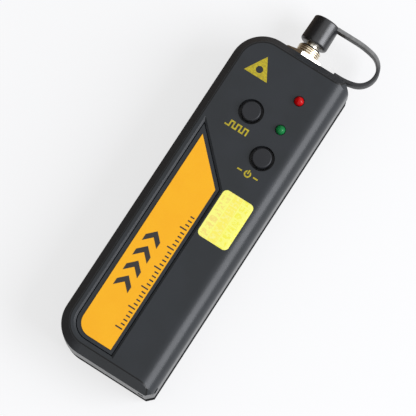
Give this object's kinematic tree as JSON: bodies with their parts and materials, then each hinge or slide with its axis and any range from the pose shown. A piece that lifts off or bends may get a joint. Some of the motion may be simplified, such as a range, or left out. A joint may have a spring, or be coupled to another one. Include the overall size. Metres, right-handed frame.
{
  "type": "visual fault locator",
  "caption": "Handheld tester with a chamfered box case, an orange label panel, push buttons, indicator lights and a capped 2.5 mm fibre connector at one end.",
  "frame": {"origin": "centre of the flat back face, on which the tester lies", "axes": "+Y along the case towards the fibre connector, +Z out of the front face, +X to the right seen from the front"},
  "size_m": [0.0429, 0.1356, 0.0235],
  "materials": {
    "case_plastic": "fine matte",
    "label_film": "satin",
    "dark_ink": "satin",
    "yellow_ink": "satin",
    "sticker_film": "satin",
    "button_plastic": "satin",
    "red_lens": "clear tinted",
    "green_lens": "clear tinted",
    "board_laminate": "solder mask",
    "black_plastic": "moulded",
    "steel": "plated",
    "gold_plate": "plated",
    "nickel": "bright nickel plating",
    "brass": "turned",
    "ceramic": "ground",
    "optical_glass": "polished",
    "rubber": "satin",
    "spring_steel": "nickel plated",
    "wire_red": "insulated",
    "wire_black": "insulated",
    "cell_jacket": "painted",
    "white_plastic": "moulded",
    "chip_ceramic": "fired"
  },
  "bodies": {
    "housing": {"front_shell": "case_plastic", "back_shell": "case_plastic", "case_screws": "steel", "face_label": "label_film", "label_print": "dark_ink", "panel_print": "yellow_ink", "inspection_sticker": "sticker_film", "mod_switch_base": "black_plastic", "pwr_switch_base": "black_plastic", "red_led": "red_lens", "green_led": "green_lens", "circuit_board": "board_laminate", "board_screws": "steel", "driver_chip": "black_plastic", "trimmer": "white_plastic", "filter_capacitor": "steel", "chip_resistors": "chip_ceramic", "connector_body": "nickel", "ceramic_sleeve": "ceramic", "connector_nut": "nickel", "lock_washer": "steel", "laser_holder": "brass", "focusing_lens": "optical_glass", "lens_retainer": "brass", "laser_diode": "gold_plate", "laser_wire_red": "wire_red", "laser_wire_black": "wire_black", "cap_tether": "rubber", "left_cell": "cell_jacket", "right_cell": "cell_jacket", "positive_contact": "spring_steel", "negative_contact": "spring_steel", "bridge_contact": "spring_steel", "battery_wire_red": "wire_red", "battery_wire_black": "wire_black"},
    "mod_button": {"mod_button": "button_plastic", "mod_switch_plunger": "white_plastic"},
    "pwr_button": {"pwr_button": "button_plastic", "pwr_switch_plunger": "white_plastic"},
    "dust_cap": {"dust_cap": "rubber"},
    "battery_door": {"battery_door": "case_plastic"}
  },
  "joints": [
    {"name": "mod_press", "type": "slide", "parent": "housing", "child": "mod_button", "axis": [0, 0, -1], "range_m": [0, 0.0003], "stiffness_N_per_m": 1500},
    {"name": "pwr_press", "type": "slide", "parent": "housing", "child": "pwr_button", "axis": [0, 0, -1], "range_m": [0, 0.0003], "stiffness_N_per_m": 1500},
    {"name": "cap_pull", "type": "slide", "parent": "housing", "child": "dust_cap", "axis": [0, 1, 0], "range_m": [0, 0.015], "deforming": ["cap_tether"]},
    {"name": "door_slide", "type": "slide", "parent": "housing", "child": "battery_door", "axis": [0, -1, 0], "range_m": [0, 0.065]}
  ]
}
